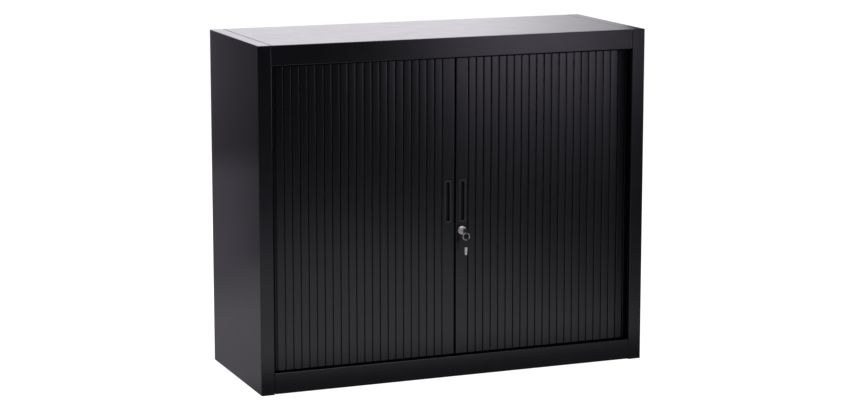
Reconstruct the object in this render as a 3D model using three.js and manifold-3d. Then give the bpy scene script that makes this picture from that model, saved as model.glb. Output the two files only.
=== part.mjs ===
// Low steel cabinet with two tambour doors, in millimetres, +Z up.
// The doors meet at the middle of the front. Each is a stiff stile with a curtain of narrow
// upright slats behind it, which runs in a top and a bottom track round the corner of the
// cabinet, along its side and a little way along its back.
// The origin lies on the floor, at the middle of the space that the cabinet and its key take.

import * as THREE from 'three';
import { mergeVertices } from 'three/addons/utils/BufferGeometryUtils.js';
import Module from 'manifold-3d';

const wasm = await Module();
wasm.setup();

// Cabinet
const width = 1200;
const depth = 460;
const height = 1000;
const sheet = 1.2;
const seam = 0.8;
const seat = 0.3;
const overrun = 5;
const roundSteps = 32;
const smallSteps = 20;
const bendSteps = 10;

// Side casings: one folded sheet each, with a post in front and narrow returns elsewhere
const postWidth = 40;
const postReturn = 14;
const rearReturn = 25;
const stripFold = 15;
const footFlange = 30;

// Header and plinth, and the pans behind them that carry the tracks
const headerHeight = 58;
const plinthHeight = 60;
const plinthLift = 2;
const panFold = 20;
const panDrop = 12;

// Curtains and the path that they follow
const curtainRecess = 16;
const slatPitch = 24;
const slatFace = 22;
const slatDepth = 8;
const slatRidge = 1.6;
const slatChamfer = 0.8;
const slatBackTaper = 0.3;
const hingeOverlap = 0.2;
const slatCount = 24;
const bendRadius = 60;
const sideClearance = 8.8;
const doorTravel = 510;

// Tracks
const trackWidth = 12;
const trackFloor = 3;
const trackLip = 4;
const tongueDepth = 5;
const tongueWidth = 12;
const tongueClearance = 0.6;
const tongueLift = 2;
const slatEndGap = 0.5;
const stopLength = 12;

// Stiles at the meeting edges of the doors
const centreGap = 2;
const stileWidth = 38.8;
const stileDepth = 20;
const stileWall = 2;
const shoeHeight = 15;
const shoeTongue = 14;
const stripMargin = 3;

// Finger cups
const cupCentre = 23;
const cupRise = 87;
const cupFlangeWidth = 22;
const cupFlangeHeight = 125;
const cupSlotWidth = 12;
const cupSlotHeight = 113;
const cupSlotDepth = 14;
const cupWall = 1.5;
const cupFlange = 1.2;

// Lock in the right-hand stile, and its striker on the left-hand one
const lockPlace = 21.5;
const lockHeight = 433;
const rosetteDiameter = 25.5;
const rosetteStand = 5;
const rosetteChamfer = 2;
const barrelDiameter = 18.6;
const plugDiameter = 12.6;
const plugSunk = 0.6;
const runningGap = 0.4;
const nutAcross = 24;
const nutThickness = 3;
const tailSquare = 6.6;
const tailStand = 0.6;
const hookThickness = 2;
const hookWidth = 12;
const hookBoss = 10;
const strikerReach = 8;
const strikerPin = 5;
const strikerPlate = 1.5;
const strikerHeight = 34;
const notchSlack = 1.2;
const screwHead = 10;
const screwHeadHeight = 2.2;
const screwShank = 3;
const screwLength = 7;

// Keys: a flat blade in a moulded bow, one in the lock and a spare on the ring
const bladeHeight = 7.5;
const bladeThickness = 2.2;
const bladeInBow = 8;
const bladeInLock = 15;
const bladeNeck = 8;
const bladeTip = 2.5;
const bowLength = 27;
const bowHeight = 18;
const bowThickness = 2.8;
const bowHole = 8;
const bowHoleEdge = 7;
const bowCorner = 5;
const ringDiameter = 22;
const ringWire = 1.6;
const swingGap = 0.7;
const spareTurn = THREE.MathUtils.degToRad(50);

// Inner walls, back liner and shelves
const wallInset = 32;
const innerFront = 52;
const innerReturn = 20;
const linerInset = 51;
const slotHeight = 14;
const slotWidth = 4;
const slotFrontInset = 28;
const shelfHeights = [355, 655];
const shelfLip = 28;
const shelfHem = 10;
const shelfGap = 0.8;
const clipLength = 12;
const clipHeight = 20;
const clipWidth = 14;
const clipThickness = 2.2;
const clipTab = 3;

// Levelling feet and their brackets
const footInset = 55;
const footSetback = 40;
const footDiameter = 32;
const footThickness = 7;
const footChamfer = 1.5;
const stemDiameter = 9.4;
const stemTop = 40;
const stemSlot = 1.6;
const bracketWidth = 50;
const bracketThickness = 3;
const bracketLevel = 16;
const bracketLeg = 26;
const bossDiameter = 18;
const bossHeight = 10;
const accessHole = 16;

// Screws of the back panel
const backScrewHead = 9;
const backScrewShank = 4;
const backScrewLength = 6;
const backScrewInset = 12;
const backScrewLevel = 90;

// Places that follow from the sizes
const halfWidth = width / 2;
const front = -depth / 2;
const back = depth / 2;
const skinInside = halfWidth - sheet;
const innerWall = halfWidth - wallInset;
const footX = halfWidth - footInset;
const footY = back - footSetback;
const cupMiddle = lockHeight + cupRise;
const postEdge = halfWidth - postWidth;
const panelEdge = postEdge - seam;
const panEdge = skinInside - seat;
const panFront = front + postReturn;
const plinthTop = plinthLift + plinthHeight;
const floorTop = plinthTop - panDrop;
const headerBottom = height - headerHeight;
const ceiling = headerBottom + panDrop;
const slatLine = front + curtainRecess + slatDepth / 2;
const slatFront = front + curtainRecess;
const sideLine = skinInside - sideClearance - slatDepth / 2;
const bendStart = sideLine - bendRadius;
const bendLength = (Math.PI / 2) * bendRadius;
const sideRun = -2 * (slatLine + bendRadius);
const bottomTrackTop = plinthTop + trackLip;
const topTrackBottom = headerBottom - trackLip;
const slatBottom = bottomTrackTop + slatEndGap;
const slatTop = topTrackBottom - slatEndGap;
const grooveFloor = floorTop + seat + trackFloor;
const grooveTop = ceiling - seat - trackFloor;
const stileEdge = centreGap / 2 + stileWidth;
const firstSlat = stileEdge + (slatPitch - slatFace) / 2 + slatPitch / 2;
const tailEnd = firstSlat + (slatCount - 0.5) * slatPitch;
const rearBendEnd = bendStart + 2 * bendLength + sideRun;
const stopFace = bendStart - (tailEnd + doorTravel - rearBendEnd) - seat;
const trackEnd = stopFace - stopLength;
const backInside = back - sheet - seat - sheet;
const panBack = backInside - seat;
const linerFace = back - linerInset;
const wallFront = front + innerFront;
const wallBack = linerFace - seat;
const rosetteFace = slatFront - rosetteStand;
const bowStart = rosetteFace - bladeNeck;
const keyEnd = bowStart - bowLength;
const keyReach = front - keyEnd;
const stileBack = slatFront + stileDepth;
const stileSkin = slatFront + stileWall;
const hookFront = stileBack + strikerPlate + runningGap + seat + runningGap;

// Turns a closed geometry into a solid that can be joined and cut
function solid(geometry) {
  const bare = geometry.clone();
  bare.deleteAttribute('normal');
  bare.deleteAttribute('uv');
  const merged = mergeVertices(bare);
  return new wasm.Manifold(new wasm.Mesh({
    numProp: 3,
    vertProperties: Float32Array.from(merged.attributes.position.array),
    triVerts: Uint32Array.from(merged.index.array),
  }));
}

// Turns a solid back into a geometry
function shell(body) {
  const mesh = body.getMesh();
  const geometry = new THREE.BufferGeometry();
  geometry.setAttribute('position', new THREE.BufferAttribute(Float32Array.from(mesh.vertProperties), 3));
  geometry.setIndex(new THREE.BufferAttribute(Uint32Array.from(mesh.triVerts), 1));
  return geometry;
}

function joined(pieces) {
  return pieces.reduce((whole, piece) => whole.add(piece));
}

function cut(body, tools) {
  return tools.reduce((left, tool) => left.subtract(tool), body);
}

// A block between two limits along each axis, given in either order
function block(x, y, z) {
  const limits = [x, y, z].map(([a, b]) => [Math.min(a, b), Math.max(a, b)]);
  const box = new THREE.BoxGeometry(1, 1, 1);
  const place = box.attributes.position;
  for (let i = 0; i < place.count; i += 1) {
    place.setXYZ(i, ...limits.map(([low, high], axis) => (place.getComponent(i, axis) < 0 ? low : high)));
  }
  return solid(box);
}

// A plan outline carried up from one height to another
function prism(points, bottom, top) {
  const shape = new THREE.Shape(points.map(([x, y]) => new THREE.Vector2(x, y)));
  return prismOf(shape, bottom, top);
}

function prismOf(shape, bottom, top) {
  const options = { depth: 1, bevelEnabled: false, curveSegments: bendSteps };
  const plate = new THREE.ExtrudeGeometry(shape, options);
  const place = plate.attributes.position;
  for (let i = 0; i < place.count; i += 1) place.setZ(i, place.getZ(i) > 0 ? top : bottom);
  return solid(plate);
}

// A round bar along Y, or along Z, from one place to the other
function barAlongY(x, z, diameter, from, to, steps = roundSteps) {
  const bar = new THREE.CylinderGeometry(diameter / 2, diameter / 2, Math.abs(to - from), steps);
  return solid(bar.translate(x, (from + to) / 2, z));
}

function barAlongZ(x, y, diameter, from, to, steps = roundSteps) {
  const bar = new THREE.CylinderGeometry(diameter / 2, diameter / 2, Math.abs(to - from), steps);
  return solid(bar.rotateX(Math.PI / 2).translate(x, y, (from + to) / 2));
}

// Stands a plate that was drawn in plan upright, with its length along Y and its faces to the sides
function upright(plate) {
  return solid(shell(plate).rotateX(Math.PI / 2).rotateZ(Math.PI / 2));
}

// A turned piece about Z from a profile of radius and height that starts and ends on the axis
function turned(profile, steps = roundSteps) {
  const points = profile.map(([radius, level]) => new THREE.Vector2(radius, level));
  return new THREE.LatheGeometry(points, steps).rotateX(Math.PI / 2);
}

const looks = {
  powderCoat: { color: 0x242428, roughness: 0.42, metalness: 0.1 },
  liner: { color: 0x2a2a2e, roughness: 0.5, metalness: 0.1 },
  slatPlastic: { color: 0x1f1f23, roughness: 0.45, metalness: 0 },
  stileMetal: { color: 0x222226, roughness: 0.42, metalness: 0.1 },
  blackPlastic: { color: 0x121214, roughness: 0.5, metalness: 0 },
  rubber: { color: 0x0c0c0d, roughness: 0.9, metalness: 0 },
  chrome: { color: 0xc9c7c4, roughness: 0.18, metalness: 1 },
  steel: { color: 0x9a9a98, roughness: 0.35, metalness: 1 },
};

function part(name, body, look) {
  const geometry = body.isBufferGeometry ? body : shell(body);
  const mesh = new THREE.Mesh(geometry, new THREE.MeshStandardMaterial(looks[look]));
  mesh.name = name;
  return mesh;
}

const sides = [['left', -1], ['right', 1]];

// Side casing: skin, front post with its return, rear return, top strip and foot flange
function sideCasing(side) {
  const outline = [
    [halfWidth, front],
    [halfWidth, back],
    [halfWidth - rearReturn, back],
    [halfWidth - rearReturn, back - sheet],
    [skinInside, back - sheet],
    [skinInside, front + sheet],
    [postEdge + sheet, front + sheet],
    [postEdge + sheet, panFront],
    [postEdge, panFront],
    [postEdge, front],
  ];
  const outer = side * halfWidth;
  const folded = prism(outline.map(([x, y]) => [side * x, y]), 0, height);
  const strip = block([outer, side * postEdge], [front, back], [height - sheet, height]);
  const stripEdge = [side * postEdge, side * (postEdge + sheet)];
  const fold = block(stripEdge, [front, panBack], [height - stripFold, height]);
  const foot = block([outer, side * (halfWidth - footFlange)], [front, back], [0, sheet]);
  const casing = joined([folded, strip, fold, foot]);
  return cut(casing, backScrewPlaces(side).map(([x, z]) => (
    barAlongY(x, z, backScrewHead + 2 * seat, back - sheet - overrun, back + overrun, smallSteps)
  )));
}

// Top: the lid, its side and rear folds, and the header that it turns down into
function topPanel() {
  const across = [-panelEdge, panelEdge];
  const lid = block(across, [front, back], [height - sheet, height]);
  const header = block(across, [front, front + sheet], [headerBottom, height]);
  const lip = block(across, [front, panFront], [headerBottom, headerBottom + sheet]);
  const rear = block(across, [back - sheet, back], [height - panFold, height]);
  const folds = sides.map(([, side]) => (
    block([side * panelEdge, side * (panelEdge - sheet)], [front, panBack], [height - panFold, height])
  ));
  return joined([lid, header, lip, rear, ...folds]);
}

// Floor pan: plinth front, ledge on top of it, step down, floor and rear fold
function floorPan() {
  const across = [-panelEdge, panelEdge];
  const fascia = block(across, [front, front + sheet], [plinthLift, plinthTop]);
  const ledge = block(across, [front, panFront], [plinthTop - sheet, plinthTop]);
  const step = block(across, [panFront - sheet, panFront], [floorTop - sheet, plinthTop]);
  const tongue = block(across, [panFront - sheet, panFront + sheet], [floorTop - sheet, floorTop]);
  const floor = block([-panEdge, panEdge], [panFront + seat, panBack], [floorTop - sheet, floorTop]);
  const rear = block([-panEdge, panEdge], [panBack - sheet, panBack], [floorTop - panFold, floorTop]);
  const holes = footPlaces().map(([, x, y]) => (
    barAlongZ(x, y, accessHole, floorTop - sheet - overrun, floorTop + overrun, smallSteps)
  ));
  return cut(joined([fascia, ledge, step, tongue, floor, rear]), holes);
}

// Ceiling pan: carries the top tracks between the header and the back
function ceilingPan() {
  const across = [-panelEdge, panelEdge];
  const upstand = [headerBottom + sheet + seat, ceiling + sheet];
  const step = block(across, [panFront - sheet, panFront], upstand);
  const tongue = block(across, [panFront - sheet, panFront + sheet], [ceiling, ceiling + sheet]);
  const plate = block([-panEdge, panEdge], [panFront + seat, panBack], [ceiling, ceiling + sheet]);
  const rear = block([-panEdge, panEdge], [panBack - sheet, panBack], [ceiling, ceiling + panFold]);
  return joined([step, tongue, plate, rear]);
}

// Back panel lies inside the casings' rear returns
function backPanel() {
  const rim = sheet + seat;
  const panel = block([-panEdge, panEdge], [backInside, back - rim], [rim, height - rim]);
  const places = sides.flatMap(([, side]) => backScrewPlaces(side));
  return cut(panel, places.map(([x, z]) => (
    barAlongY(x, z, backScrewShank + 2 * seat, backInside - overrun, back + overrun, smallSteps)
  )));
}

function backScrewPlaces(side) {
  const x = side * (halfWidth - backScrewInset);
  return [[x, backScrewLevel], [x, height - backScrewLevel]];
}

// Screw of the back panel, flush in the rear return
function backScrew(x, z) {
  const head = barAlongY(x, z, backScrewHead, back - sheet, back, smallSteps);
  return head.add(barAlongY(x, z, backScrewShank, back - backScrewLength, back, smallSteps));
}

// Inner wall beside the stored goods, with front and rear returns and slots for shelf clips
function innerWallPanel(side) {
  const outside = innerWall + sheet;
  const edge = innerWall - innerReturn;
  const outline = [
    [edge, wallFront],
    [outside, wallFront],
    [outside, wallBack],
    [edge, wallBack],
    [edge, wallBack - sheet],
    [innerWall, wallBack - sheet],
    [innerWall, wallFront + sheet],
    [edge, wallFront + sheet],
  ];
  const wall = prism(outline.map(([x, y]) => [side * x, y]), floorTop + seat, ceiling - seat);
  const through = [side * (innerWall - overrun), side * (outside + overrun)];
  const slots = slotLevels().flatMap((z) => slotLines().map((y) => (
    block(through, [y - slotWidth / 2, y + slotWidth / 2], [z - slotHeight / 2, z + slotHeight / 2])
  )));
  return cut(wall, slots);
}

function slotLines() {
  return [wallFront + slotFrontInset, wallBack - slotFrontInset];
}

// Each shelf has its slots level with the middle of its clips
function slotLevels() {
  return shelfHeights.map((level) => level - sheet - seat - clipHeight / 2);
}

function backLiner() {
  const edge = innerWall + sheet;
  return block([-edge, edge], [linerFace, linerFace + sheet], [floorTop + seat, ceiling - seat]);
}

// Shelf: a tray turned over, with a lip and a hem at its front and back
function shelf(level) {
  const across = [-(innerWall - shelfGap), innerWall - shelfGap];
  const from = wallFront + sheet + shelfGap;
  const to = wallBack - sheet - shelfGap;
  const plate = block(across, [from, to], [level - sheet, level]);
  const lips = [[from, 1], [to, -1]].flatMap(([y, inward]) => [
    block(across, [y, y + inward * sheet], [level - shelfLip, level]),
    block(across, [y, y + inward * shelfHem], [level - shelfLip, level - shelfLip + sheet]),
  ]);
  return joined([plate, ...lips]);
}

// One of the four clips that hold a shelf: it hooks into a slot of the inner wall
function shelfClip(side, y, level) {
  const top = level - sheet - seat;
  const middle = top - clipHeight / 2;
  const wall = side * (innerWall - seat);
  const wide = [y - clipWidth / 2, y + clipWidth / 2];
  const plate = block([wall, wall - side * clipThickness], wide, [top - clipHeight, top]);
  const ledge = block([wall, wall - side * clipLength], wide, [top - clipThickness, top]);
  const tab = block(
    [wall, side * (innerWall + sheet + clipTab)],
    [y - clipTab / 2, y + clipTab / 2],
    [middle - clipHeight / 4, middle + clipHeight / 4],
  );
  return joined([plate, ledge, tab]);
}

// Outline of the curtain's path in plan, between two offsets from its centre line.
// A positive offset lies towards the front and the skin of the side.
function pathOutline(side, outer, inner, start, end) {
  const edge = (offset) => {
    const points = [[start, slatLine - offset]];
    for (let step = 0; step <= 2 * bendSteps; step += 1) {
      const angle = (step / bendSteps) * (Math.PI / 2);
      const centreY = step <= bendSteps ? slatLine + bendRadius : -(slatLine + bendRadius);
      const radius = bendRadius + offset;
      points.push([bendStart + radius * Math.sin(angle), centreY - radius * Math.cos(angle)]);
      if (step === bendSteps) points.push([bendStart + radius, -(slatLine + bendRadius)]);
    }
    points.push([end, offset - slatLine]);
    return points;
  };
  return [...edge(outer), ...edge(inner).reverse()].map(([x, y]) => [side * x, y]);
}

// Track: a channel that opens towards the curtain, from the middle of the front to its stop
function track(side, low, high, grooveLow, grooveHigh) {
  const half = trackWidth / 2;
  const groove = tongueDepth / 2 + tongueClearance;
  const body = prism(pathOutline(side, half, -half, seat, trackEnd), low, high);
  const hollow = pathOutline(side, groove, -groove, -overrun, trackEnd - overrun);
  return body.subtract(prism(hollow, grooveLow, grooveHigh));
}

function bottomTrack(side) {
  return track(side, floorTop + seat, bottomTrackTop, grooveFloor, bottomTrackTop + overrun);
}

function topTrack(side) {
  return track(side, topTrackBottom, ceiling - seat, topTrackBottom - overrun, grooveTop);
}

// Stop at the rear end of a bottom track, where the tail of the curtain comes to rest
function trackStop(side) {
  const half = tongueDepth / 2 + tongueClearance - seat;
  const tall = [grooveFloor + seat, bottomTrackTop];
  return block([side * trackEnd, side * stopFace], [-slatLine - half, -slatLine + half], tall);
}

// Where a slat stands, a given way along the path from the middle of the front
function pathPlace(travelled) {
  if (travelled <= bendStart) return { x: travelled, y: slatLine, turn: 0 };
  const round = travelled - bendStart;
  if (round <= bendLength) {
    const turn = round / bendRadius;
    const y = slatLine + bendRadius * (1 - Math.cos(turn));
    return { x: bendStart + bendRadius * Math.sin(turn), y, turn };
  }
  return { x: sideLine, y: slatLine + bendRadius + round - bendLength, turn: Math.PI / 2 };
}

// Slat: a chamfered face, a thin web that hinges on its neighbours and a narrower back,
// with a tongue at each end that runs in the tracks
function slat() {
  const faceHalf = slatFace / 2;
  const ridgeHalf = slatPitch / 2 + hingeOverlap;
  const backHalf = faceHalf - slatBackTaper;
  const half = slatDepth / 2;
  const ridge = slatRidge / 2;
  const right = [
    [faceHalf - slatChamfer, -half],
    [faceHalf, -half + slatChamfer],
    [faceHalf, -ridge],
    [ridgeHalf, -ridge],
    [ridgeHalf, ridge],
    [backHalf, ridge],
    [backHalf, half],
  ];
  const left = right.map(([x, y]) => [-x, y]).reverse();
  const body = prism([...right, ...left], slatBottom, slatTop);
  const wide = [-tongueWidth / 2, tongueWidth / 2];
  const thick = [-tongueDepth / 2, tongueDepth / 2];
  const lower = block(wide, thick, [grooveFloor + seat, slatBottom + seat]);
  const upper = block(wide, thick, [slatTop - seat, grooveTop - tongueLift]);
  return shell(joined([body, lower, upper]));
}

// Curtain: its slats are moulded together at their webs, so it is one piece that bends
function curtain(side) {
  const one = slat();
  return joined(Array.from({ length: slatCount }, (_, index) => {
    const place = pathPlace(firstSlat + index * slatPitch);
    return solid(one.clone().rotateZ(side * place.turn).translate(side * place.x, place.y, 0));
  }));
}

// Stile: a channel with its open side to the rear, cut out for the finger cup
function stile(side) {
  const near = side * (centreGap / 2);
  const far = side * stileEdge;
  const tall = [slatBottom, slatTop];
  const face = block([near, far], [slatFront, stileSkin], tall);
  const inner = block([near, near + side * stileWall], [slatFront, stileBack], tall);
  const outer = block([far, far - side * stileWall], [slatFront, stileBack], tall);
  const lipEnd = side * (firstSlat - slatPitch / 2 - hingeOverlap - seat);
  const lip = block([far - side * seat, lipEnd], [slatLine - slatRidge / 2, slatLine + slatRidge / 2], tall);
  const opening = cupBlock(side, cupWall + seat, slatFront - overrun, stileSkin + overrun);
  return cut(joined([face, inner, outer, lip]), [opening]);
}

// A block as large as the slot of the finger cup, grown by a margin all round
function cupBlock(side, margin, from, to) {
  const across = cupSlotWidth / 2 + margin;
  const tall = cupSlotHeight / 2 + margin;
  const middle = side * cupCentre;
  return block([middle - across, middle + across], [from, to], [cupMiddle - tall, cupMiddle + tall]);
}

function rightStile() {
  const across = barrelDiameter + 2 * seat;
  const bore = barAlongY(lockPlace, lockHeight, across, slatFront - overrun, stileSkin + overrun);
  return stile(1).subtract(bore);
}

// Finger cup: a deep slot with a flange that lies on the face of the stile
function fingerCup(side) {
  const flangeFront = slatFront - seat - cupFlange;
  const middle = side * cupCentre;
  const flange = block(
    [middle - cupFlangeWidth / 2, middle + cupFlangeWidth / 2],
    [flangeFront, slatFront - seat],
    [cupMiddle - cupFlangeHeight / 2, cupMiddle + cupFlangeHeight / 2],
  );
  const floor = flangeFront + cupSlotDepth;
  const box = cupBlock(side, cupWall, slatFront - seat, floor + cupWall);
  return cut(flange.add(box), [cupBlock(side, 0, flangeFront - overrun, floor)]);
}

// Shoe that closes one end of a stile and guides it in the track there
function stileShoe(side, end, inward, tongueTip) {
  const near = side * (centreGap / 2 + stileWall + seat);
  const far = side * (stileEdge - stileWall - seat);
  const plugDeep = [stileSkin + seat, stileBack - stileWall];
  const tongueAcross = [near, near + side * shoeTongue];
  const tongueThick = [stileSkin + seat, slatLine + tongueDepth / 2];
  return joined([
    block([near, far], plugDeep, [end, end + inward * shoeHeight]),
    block(tongueAcross, tongueThick, [tongueTip, end + inward * seat]),
  ]);
}

// Rubber strip in the gap between the stiles, on the left-hand one
function centreStrip() {
  const half = centreGap / 2 - seat;
  return block([-half, half], [slatFront + stripMargin, stileBack - stripMargin], [slatBottom, slatTop]);
}

// Lock pieces are turned about the lock's own axis, which lies along Y at the group's origin
function lockHousing() {
  const rim = rosetteDiameter / 2;
  const bore = plugDiameter / 2 + runningGap;
  const rosette = turned([
    [0, 0],
    [rim, 0],
    [rim, rosetteStand - seat - rosetteChamfer],
    [rim - rosetteChamfer, rosetteStand - seat],
    [0, rosetteStand - seat],
  ]);
  const placed = solid(rosette.rotateX(Math.PI / 2).translate(0, slatFront - seat, 0));
  const barrel = barAlongY(0, 0, barrelDiameter, slatFront - seat * 2, stileBack);
  const hole = barAlongY(0, 0, 2 * bore, rosetteFace - overrun, stileBack + overrun);
  return cut(joined([placed, barrel]), [hole]);
}

function lockNut() {
  const across = nutAcross / Math.sqrt(3);
  const from = stileSkin + seat;
  const hexagon = new THREE.CylinderGeometry(across, across, nutThickness, 6);
  const nut = solid(hexagon.translate(0, from + nutThickness / 2, 0));
  const bore = barrelDiameter + 2 * seat;
  return nut.subtract(barAlongY(0, 0, bore, from - overrun, from + nutThickness + overrun));
}

// Plug with its key slot in front and a square tail for the hook
function lockPlug() {
  const face = rosetteFace + plugSunk;
  const plug = barAlongY(0, 0, plugDiameter, face, hookFront - seat);
  const half = tailSquare / 2;
  const rearEnd = hookFront + hookThickness + tailStand;
  const tail = block([-half, half], [hookFront - seat * 2, rearEnd], [-half, half]);
  const slotHalf = bladeThickness / 2 + seat;
  const slotTall = bladeHeight / 2 + seat;
  const slotBack = rosetteFace + bladeInLock + seat;
  const slot = block([-slotHalf, slotHalf], [face - overrun, slotBack], [-slotTall, slotTall]);
  const bore = screwShank + 2 * seat;
  const thread = barAlongY(0, 0, bore, rearEnd - screwLength, rearEnd + overrun, smallSteps);
  return cut(joined([plug, tail]), [slot, thread]);
}

// Hook: stands up when the lock is open, and swings down over the striker's pin
function lockHook() {
  const pinRadius = lockPlace + strikerReach;
  const half = hookWidth / 2;
  const tip = pinRadius + strikerPin / 2 + notchSlack + half / 2;
  const arm = block([-half, half], [hookFront, hookFront + hookThickness], [0, tip]);
  const boss = barAlongY(0, 0, 2 * hookBoss, hookFront, hookFront + hookThickness);
  const square = tailSquare / 2 + seat;
  const hole = block([-square, square], [hookFront - overrun, hookFront + overrun], [-square, square]);
  const slack = strikerPin / 2 + notchSlack;
  const notchEnd = strikerPin / 2 + runningGap;
  const notch = block(
    [-half - overrun, notchEnd],
    [hookFront - overrun, hookFront + overrun],
    [pinRadius - slack, pinRadius + notchEnd],
  );
  return cut(joined([arm, boss]), [hole, notch]);
}

function hookScrew() {
  const from = hookFront + hookThickness + tailStand + seat;
  const head = barAlongY(0, 0, screwHead, from, from + screwHeadHeight, smallSteps);
  const shank = barAlongY(0, 0, screwShank, from + seat - screwLength, from + seat, smallSteps);
  return head.add(shank);
}

// Striker: a plate across the open side of the left stile, with a pin for the hook
function striker() {
  const from = stileBack + seat;
  const across = [-(centreGap / 2 + seat), -(stileEdge - seat)];
  const tall = [lockHeight - strikerHeight / 2, lockHeight + strikerHeight / 2];
  const plate = block(across, [from, from + strikerPlate], tall);
  const pinEnd = hookFront + hookThickness + runningGap;
  return plate.add(barAlongY(-strikerReach, lockHeight, strikerPin, from, pinEnd, smallSteps));
}

// Key blade and bow, in the key's own frame: the bow reaches forwards from the origin
function keyBlade() {
  const half = bladeThickness / 2;
  const tall = bladeHeight / 2;
  const tipStart = bladeNeck + bladeInLock - bladeTip;
  const outline = new THREE.Shape([
    new THREE.Vector2(-bladeInBow, -tall),
    new THREE.Vector2(tipStart, -tall),
    new THREE.Vector2(tipStart + bladeTip, 0),
    new THREE.Vector2(tipStart, tall),
    new THREE.Vector2(-bladeInBow, tall),
  ]);
  return upright(prismOf(outline, -half, half));
}

function keyBow() {
  const half = bowThickness / 2;
  const tall = bowHeight / 2;
  const outline = roundedOutline(-bowLength, 0, -tall, tall, bowCorner);
  const hole = new THREE.Path();
  hole.absarc(-bowLength + bowHoleEdge, 0, bowHole / 2, 0, 2 * Math.PI, true);
  outline.holes.push(hole);
  const bow = upright(prismOf(outline, -half, half));
  const pocketHalf = bladeThickness / 2 + seat;
  const pocketTall = bladeHeight / 2 + seat;
  const pocket = block(
    [-pocketHalf, pocketHalf],
    [-bladeInBow - seat, overrun],
    [-pocketTall, pocketTall],
  );
  return bow.subtract(pocket);
}

function roundedOutline(x0, x1, y0, y1, radius) {
  const outline = new THREE.Shape();
  const quarter = Math.PI / 2;
  outline.absarc(x1 - radius, y1 - radius, radius, 0, quarter);
  outline.absarc(x0 + radius, y1 - radius, radius, quarter, 2 * quarter);
  outline.absarc(x0 + radius, y0 + radius, radius, 2 * quarter, 3 * quarter);
  outline.absarc(x1 - radius, y0 + radius, radius, 3 * quarter, 4 * quarter);
  return outline;
}

// Key ring: its origin is the middle of its wire at the top
function keyRing() {
  const radius = (ringDiameter - ringWire) / 2;
  const ring = new THREE.TorusGeometry(radius, ringWire / 2, 8, roundSteps);
  return solid(ring.rotateX(Math.PI / 2).translate(0, 0, -radius));
}

// Levelling foot: pad, stem and a slot for a screwdriver, in its own frame on the floor
function footPlaces() {
  return sides.flatMap(([hand, side]) => [
    [`front_${hand}`, side * footX, -footY],
    [`rear_${hand}`, side * footX, footY],
  ]);
}

function levellingFoot() {
  const pad = footDiameter / 2;
  const stem = stemDiameter / 2;
  const body = solid(turned([
    [0, 0],
    [pad - footChamfer, 0],
    [pad, footChamfer],
    [pad, footThickness - footChamfer],
    [pad - footChamfer, footThickness],
    [stem, footThickness],
    [stem, stemTop],
    [0, stemTop],
  ]));
  const half = stemSlot / 2;
  return body.subtract(block([-half, half], [-pad, pad], [stemTop - stemSlot, stemTop + overrun]));
}

// Bracket that carries a foot: plate, leg against the side casing and threaded boss
function footBracket(side) {
  const half = bracketWidth / 2;
  const reach = side * (panEdge - footX);
  const across = [side * -half, reach];
  const along = [-half, half];
  const plate = block(across, along, [bracketLevel, bracketLevel + bracketThickness]);
  const legAcross = [reach, reach - side * bracketThickness];
  const leg = block(legAcross, along, [bracketLevel, bracketLevel + bracketLeg]);
  const bossTop = bracketLevel + bracketThickness + bossHeight;
  const boss = barAlongZ(0, 0, bossDiameter, bracketLevel, bossTop);
  const bore = barAlongZ(0, 0, stemDiameter + 2 * runningGap, bracketLevel - overrun, bossTop + overrun);
  return cut(joined([plate, leg, boss]), [bore]);
}

function groupAt(x, y, z, meshes) {
  const group = new THREE.Group();
  group.position.set(x, y, z);
  group.add(...meshes);
  return group;
}

// Carcass: everything that stands still
const carcass = [
  part('top_panel', topPanel(), 'powderCoat'),
  part('floor_pan', floorPan(), 'powderCoat'),
  part('ceiling_pan', ceilingPan(), 'powderCoat'),
  part('back_panel', backPanel(), 'powderCoat'),
  part('back_liner', backLiner(), 'liner'),
  part('shelf_lower', shelf(shelfHeights[0]), 'liner'),
  part('shelf_upper', shelf(shelfHeights[1]), 'liner'),
  ...sides.flatMap(([hand, side]) => [
    part(`${hand}_side_casing`, sideCasing(side), 'powderCoat'),
    part(`${hand}_inner_wall`, innerWallPanel(side), 'liner'),
    part(`${hand}_bottom_track`, bottomTrack(side), 'blackPlastic'),
    part(`${hand}_top_track`, topTrack(side), 'blackPlastic'),
    part(`${hand}_track_stop`, trackStop(side), 'rubber'),
    ...backScrewPlaces(side).map(([x, z], index) => (
      part(`${hand}_back_screw_${['low', 'high'][index]}`, backScrew(x, z), 'steel')
    )),
    ...shelfHeights.flatMap((level, storey) => slotLines().map((y, line) => {
      const name = `clip_${['lower', 'upper'][storey]}_${['front', 'rear'][line]}_${hand}`;
      return part(name, shelfClip(side, y, level), 'steel');
    })),
  ]),
];

// Doors: the curtain, its stile and what is fixed to the stile
const doors = sides.flatMap(([hand, side]) => [
  part(`${hand}_curtain`, curtain(side), 'slatPlastic'),
  part(`${hand}_stile`, side < 0 ? stile(side) : rightStile(), 'stileMetal'),
  part(`${hand}_finger_cup`, fingerCup(side), 'blackPlastic'),
  part(`${hand}_bottom_shoe`, stileShoe(side, slatBottom, 1, grooveFloor + seat), 'blackPlastic'),
  part(`${hand}_top_shoe`, stileShoe(side, slatTop, -1, grooveTop - tongueLift), 'blackPlastic'),
]);
doors.push(part('centre_strip', centreStrip(), 'rubber'), part('lock_striker', striker(), 'steel'));

// Lock, on its axis in the right-hand stile
const lock = groupAt(lockPlace, 0, lockHeight, [
  part('lock_housing', lockHousing(), 'chrome'),
  part('lock_nut', lockNut(), 'steel'),
  part('lock_plug', lockPlug(), 'chrome'),
  part('lock_hook', lockHook(), 'steel'),
  part('hook_screw', hookScrew(), 'steel'),
]);

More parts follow.
